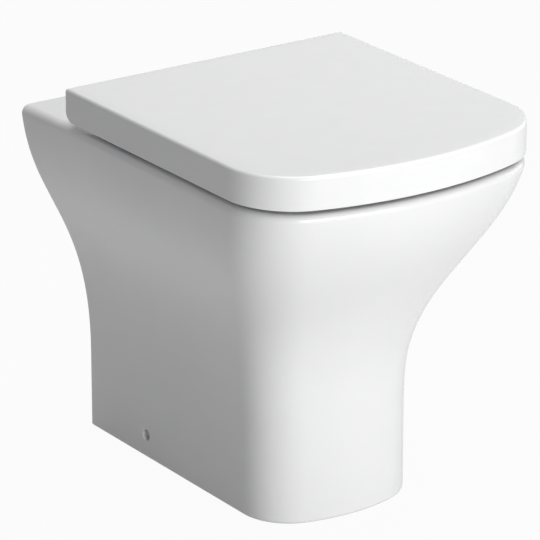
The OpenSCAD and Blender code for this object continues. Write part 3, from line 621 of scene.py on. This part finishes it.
def lid_cover(gloss):
    rings = [lid_ring(LID_TOP - LID_FALL * share ** 2, LID_EDGE + LID_BORDER * (1 - share))
             for share in steps(0, 1, 10)]
    edge_z = LID_TOP - LID_FALL
    rings += [lid_ring(edge_z - LID_EDGE * (1 - c), LID_EDGE * (1 - s))
              for s, c in quarter(8)[1:]]
    rings += [lid_ring(LID_LOW + LID_LOW_EDGE * (1 - s), LID_LOW_EDGE * (1 - c))
              for s, c in quarter(4)]
    rings += [lid_ring(LID_LOW + LID_INNER_EDGE * (1 - c), LID_SIDE - LID_INNER_EDGE * (1 - s))
              for s, c in quarter(3)]
    rings += [lid_ring(LID_UNDER - LID_INNER_R * (1 - s), LID_SIDE + LID_INNER_R * (1 - c))
              for s, c in quarter(5)]
    rings.append(lid_ring(LID_UNDER, LID_SIDE + LID_INNER_FLAT))
    cover = skin("lid_cover", rings)

    y, inner, back = WALL + PIVOT_Y, LID_HALF - LID_SIDE, PIVOT_IN + PAST
    in_y, in_z = y + PIVOT_IN - LID_REAR_R, PIVOT_Z - PIVOT_IN + LID_REAR_R
    room = block("swing_room", (-SWING_HALF, in_y, PIVOT_Z - back), (SWING_HALF, y + back, in_z))
    cut(room, rod("swing_round", (-ROUND_HALF, in_y, in_z), (ROUND_HALF, in_y, in_z),
                  LID_REAR_R, SWING_SIDES))
    add(room, block("rear_room", (-inner, y, PIVOT_Z - back), (inner, y + back, PIVOT_Z + HAIR)))
    for side in (-1, 1):
        a, b = on_side(side, SEAT_EAR[0] - BLOCK_GAP, LID_EAR[0])
        add(room, block("block_room", (a, y + BLOCK_BACK, PIVOT_Z - PAST),
                        (b, y + back, LID_UNDER)))
    cut(cover, room)

    for side in (-1, 1):
        a, b = on_side(side, *LID_EAR)
        ear = pivot_rod("lid_ear", (a, b), EAR_R, EAR_SIDES)
        add(ear, block("lid_web", (a, y - EAR_R, PIVOT_Z), (b, y + EAR_R, LID_UNDER + BITE)))
        bore = on_side(side, LID_EAR[0] - PAST, LID_EAR[1] - LID_BORE_STOP)
        cut(ear, pivot_rod("lid_bore", bore, BORE_R, HOLE_SIDES))
        add(cover, ear)
    wear(cover, gloss, "lid", "seat_plastic", "lid")


# The seat

def seat_moulding(gloss):
    rings = [seat_ring(SEAT_LOW + SEAT_LOW_EDGE * (1 - c), SEAT_LOW_EDGE * (1 - s))
             for s, c in quarter(4)]
    rings += [seat_ring(SEAT_TOP - SEAT_EDGE * (1 - s), SEAT_EDGE * (1 - c))
              for s, c in quarter(9)]
    rings.append(seat_ring(SEAT_TOP, SEAT_EDGE + SEAT_STRIP))
    for i in range(DISH_RINGS):
        dish = SEAT_DISH * (1 - cos(pi * i / DISH_RINGS)) / 2
        rings.append(hole_ring(SEAT_TOP - dish, mix(DISH_WIDTH, SEAT_EDGE, i / DISH_RINGS)))
    rings += [hole_ring(SEAT_TOP - SEAT_DISH - SEAT_EDGE * (1 - c), SEAT_EDGE * (1 - s))
              for s, c in quarter(9)]
    rings += [hole_ring(SEAT_LOW + SEAT_LOW_EDGE * (1 - s), SEAT_LOW_EDGE * (1 - c))
              for s, c in quarter(4)]
    seat = skin("seat_moulding", rings, closed=True)

    y = WALL + PIVOT_Y
    for side in (-1, 1):
        a, b = on_side(side, *SEAT_EAR)
        ear = pivot_rod("seat_ear", (a, b), EAR_R, EAR_SIDES)
        add(ear, block("seat_neck", (a, y - NECK_LENGTH, PIVOT_Z - NECK_DROP),
                       (b, y, SEAT_TOP - BITE)))
        bore = on_side(side, SEAT_EAR[1] - SEAT_BORE_DEPTH, SEAT_EAR[1] + PAST)
        cut(ear, pivot_rod("seat_bore", bore, BORE_R, HOLE_SIDES))
        add(seat, ear)
    wear(seat, gloss, "seat", "seat_plastic", "seat_ring")


# Hinges, fixings and rubber

def soft_edged(node, body, slot, material, width):
    """A copy of a node's mesh, joined up and with its edges eased."""
    obj = bpy.data.objects.new(node + "_finished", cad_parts[node].data.copy())
    bpy.context.collection.objects.link(obj)
    open_mesh(obj)
    bpy.ops.mesh.select_all(action="SELECT")
    bpy.ops.mesh.remove_doubles(threshold=COPY_WELD)
    bpy.ops.mesh.dissolve_limited(angle_limit=FLAT_TURN)
    bpy.ops.mesh.normals_make_consistent(inside=False)
    close_mesh()
    m = obj.modifiers.new("ease", "BEVEL")
    m.width, m.segments, m.limit_method, m.angle_limit = width, 2, "ANGLE", CORNER_TURN
    bpy.ops.object.modifier_apply(modifier=m.name)
    wear(obj, material, body, slot, node)


# Camera and studio

def set_camera():
    """Camera at the photograph's angle, with a long lens."""
    turn, rise = radians(CAMERA_TURN), radians(CAMERA_RISE)
    back = Vector((sin(turn) * cos(rise), -cos(turn) * cos(rise), sin(rise)))
    right = Vector((cos(turn), sin(turn), 0))
    up = back.cross(right)
    place = Vector(CAMERA_AIM) + CAMERA_BACK * back - CAMERA_LEFT * right + CAMERA_UP * up
    data = bpy.data.cameras.new("camera")
    data.sensor_width, data.clip_end = FILM, CAMERA_END
    data.lens = FILM * FOCAL_PIXELS / PHOTO_PIXELS
    camera = bpy.data.objects.new("camera", data)
    bpy.context.collection.objects.link(camera)
    camera.matrix_world = Matrix([[right[i], up[i], back[i], place[i]] for i in range(3)]
                                 + [[0, 0, 0, 1]])
    bpy.context.scene.camera = camera


def softbox(name, place, aim, size, power):
    data = bpy.data.lights.new(name, "AREA")
    data.shape, data.energy = "RECTANGLE", power
    data.size, data.size_y = size
    lamp = bpy.data.objects.new(name, data)
    bpy.context.collection.objects.link(lamp)
    lamp.location = place
    lamp.rotation_euler = (Vector(aim) - Vector(place)).to_track_quat("-Z", "Y").to_euler()


def white_share(tree, camera, mirrored):
    """How much plain white a ray meets: one share for the camera, one for reflections."""
    path = tree.nodes.new("ShaderNodeLightPath")
    total = None
    for kind, share in (("Is Camera Ray", camera), ("Is Glossy Ray", mirrored),
                        ("Is Transmission Ray", mirrored)):
        part = tree.nodes.new("ShaderNodeMath")
        part.operation = "MULTIPLY"
        part.inputs[1].default_value = share
        tree.links.new(path.outputs[kind], part.inputs[0])
        if total:
            most = tree.nodes.new("ShaderNodeMath")
            most.operation = "MAXIMUM"
            tree.links.new(total, most.inputs[0])
            tree.links.new(part.outputs["Value"], most.inputs[1])
            part = most
        total = part.outputs["Value"]
    return total


def blend_white(tree, shader, white, shares, out):
    """Lays white over a shader by the two shares and joins both to the output."""
    both = tree.nodes.new("ShaderNodeMixShader")
    tree.links.new(white_share(tree, *shares), both.inputs["Fac"])
    tree.links.new(shader, both.inputs[1])
    tree.links.new(white, both.inputs[2])
    tree.links.new(both.outputs["Shader"], out.inputs["Surface"])


def studio():
    deselect()
    bpy.ops.mesh.primitive_plane_add(size=FLOOR_SIDE, location=(0, 0, FLOOR_Z))
    floor = new_piece("studio_floor")
    mat = bpy.data.materials.new("pale_floor")
    mat.use_nodes = True
    tree = mat.node_tree
    tree.nodes.clear()
    out = tree.nodes.new("ShaderNodeOutputMaterial")
    paint = tree.nodes.new("ShaderNodeBsdfDiffuse")
    paint.inputs["Color"].default_value = FLOOR_PAINT
    white = tree.nodes.new("ShaderNodeEmission")
    blend_white(tree, paint.outputs["BSDF"], white.outputs["Emission"], FLOOR_WHITE, out)
    floor.data.materials.append(mat)

    world = bpy.data.worlds.new("studio")
    world.use_nodes = True
    bpy.context.scene.world = world
    tree = world.node_tree
    tree.nodes.clear()
    out = tree.nodes.new("ShaderNodeOutputWorld")
    fill = tree.nodes.new("ShaderNodeBackground")
    fill.inputs["Color"].default_value = FILL_LIGHT
    seen = tree.nodes.new("ShaderNodeBackground")
    seen.inputs["Color"].default_value = (1, 1, 1, 1)
    blend_white(tree, fill.outputs["Background"], seen.outputs["Background"], STUDIO_WHITE, out)

    for name, (place, aim, size, power) in SOFTBOXES.items():
        softbox(name, place, aim, size, power)
    bpy.context.scene.view_settings.view_transform = "Standard"


set_camera()
studio()

gloss, satin, grey = gloss_moulding(), satin_moulding(), grey_moulding()
steel, brass, rubber = turned_steel(), nut_brass(), pale_rubber()

china_pan(white_glaze())
lid_cover(gloss)
seat_moulding(gloss)
# the last value is the width of the eased edges
soft_edged("seat_buffers", "seat", "soft_rubber", rubber, 0.0008)
soft_edged("lid_buffers", "lid", "soft_rubber", rubber, 0.0008)
soft_edged("seat_damper", "hinge_carriage", "damper_plastic", grey, 0.0004)
soft_edged("lid_damper", "hinge_carriage", "damper_plastic", grey, 0.0004)
soft_edged("seat_damper_shaft", "seat", "steel", steel, 0.0003)
soft_edged("lid_damper_shaft", "lid", "steel", steel, 0.0003)
soft_edged("seat_pivot_pin", "hinge_carriage", "steel", steel, 0.0004)
soft_edged("lid_pivot_pin", "hinge_carriage", "steel", steel, 0.0004)
for side in ("left", "right"):
    soft_edged(f"hinge_block_{side}", "hinge_carriage", "seat_plastic", satin, 0.0006)
    soft_edged(f"release_button_{side}", f"button_{side}", "damper_plastic", grey, 0.0004)
    soft_edged(f"latch_clip_{side}", "hinge_carriage", "steel", steel, 0.0001)
    soft_edged(f"hinge_post_{side}", "pan", "steel", steel, 0.0003)
    soft_edged(f"hinge_plate_{side}", "pan", "steel", steel, 0.0003)
    soft_edged(f"plate_gasket_{side}", "pan", "soft_rubber", rubber, 0.0002)
    soft_edged(f"expansion_sleeve_{side}", "pan", "soft_rubber", rubber, 0.0004)
    soft_edged(f"sleeve_nut_{side}", "pan", "nut_brass", brass, 0.0003)
